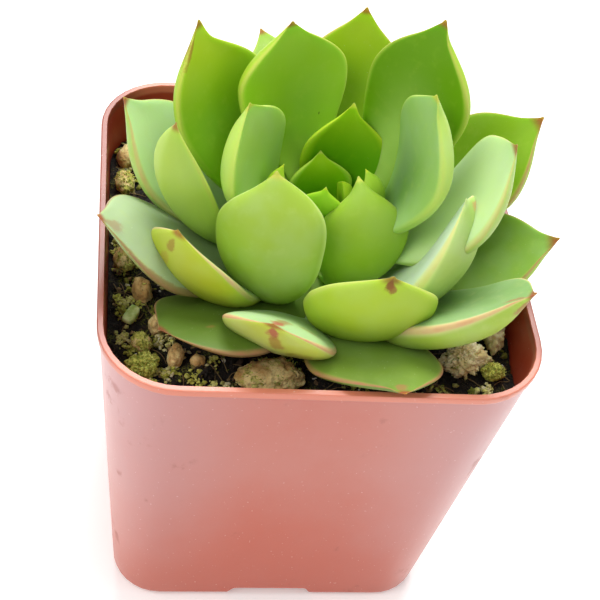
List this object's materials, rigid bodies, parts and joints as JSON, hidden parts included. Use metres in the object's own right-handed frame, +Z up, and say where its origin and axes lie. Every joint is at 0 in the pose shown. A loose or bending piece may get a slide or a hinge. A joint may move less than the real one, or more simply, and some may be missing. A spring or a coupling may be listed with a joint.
{
  "type": "potted succulent",
  "caption": "Rosette succulent with thick pointed leaves in a square tapered plastic nursery pot filled with gritty potting mix.",
  "frame": {"origin": "centre of the base of the overall bounding box, on the surface that the pot stands on; the pot's own axis is 2 mm from it", "axes": "+Z up, +Y away from the pot's front side, +X to the right seen from the front"},
  "size_m": [0.0732, 0.0764, 0.1059],
  "materials": {
    "pot_plastic": "glossy moulded terracotta-coloured plastic with faint scuffs and water marks",
    "potting_mix": "moist dark peat with fine bark, rootlets and grit",
    "stem": "smooth pale green stem",
    "leaf_outer": "fleshy waxy leaf, grey-green with pink-brown edges and tip",
    "leaf_middle": "fleshy waxy leaf, fresh green with yellow edges and a brown tip",
    "leaf_inner": "fleshy waxy leaf, light green with a pale bloom",
    "leaf_heart": "fleshy waxy leaf, bright yellow-green",
    "leaf_fragment": "cut piece of green leaf",
    "moss": "tufts of yellow-green moss",
    "pumice": "rough porous pumice",
    "stone": "rough tan grit with mossy patches"
  },
  "bodies": {
    "root": {"pot": "pot_plastic", "potting_mix": "potting_mix", "stem": "stem", "heart_leaf_back_right": "leaf_heart", "heart_leaf_front": "leaf_heart", "heart_leaf_left": "leaf_heart", "heart_leaf_right": "leaf_heart", "inner_leaf_back": "leaf_inner", "inner_leaf_back_right": "leaf_inner", "inner_leaf_front": "leaf_inner", "inner_leaf_front_left": "leaf_inner", "inner_leaf_left": "leaf_inner", "inner_leaf_right": "leaf_inner", "middle_leaf_back": "leaf_middle", "middle_leaf_back_left": "leaf_middle", "middle_leaf_back_right": "leaf_middle", "middle_leaf_front": "leaf_middle", "middle_leaf_front_left": "leaf_middle", "middle_leaf_front_right": "leaf_middle", "middle_leaf_left": "leaf_middle", "middle_leaf_left_low": "leaf_middle", "middle_leaf_right": "leaf_middle", "outer_leaf_back": "leaf_outer", "outer_leaf_back_left": "leaf_outer", "outer_leaf_back_low": "leaf_outer", "outer_leaf_back_right": "leaf_outer", "outer_leaf_front": "leaf_outer", "outer_leaf_front_left": "leaf_outer", "outer_leaf_front_right": "leaf_outer", "outer_leaf_left": "leaf_outer", "outer_leaf_right": "leaf_outer", "leaf_fragment": "leaf_fragment", "moss_front_left": "moss", "moss_right": "moss", "pumice_right": "pumice", "pumice_right_back": "pumice", "stone_back_left": "stone", "stone_back_mossy": "stone", "stone_back_orange": "stone", "stone_front": "stone", "stone_front_small": "stone", "stone_front_tan": "stone", "stone_left_cream": "stone", "stone_left_mossy": "stone", "stone_left_wedge": "stone"}
  },
  "joints": []
}
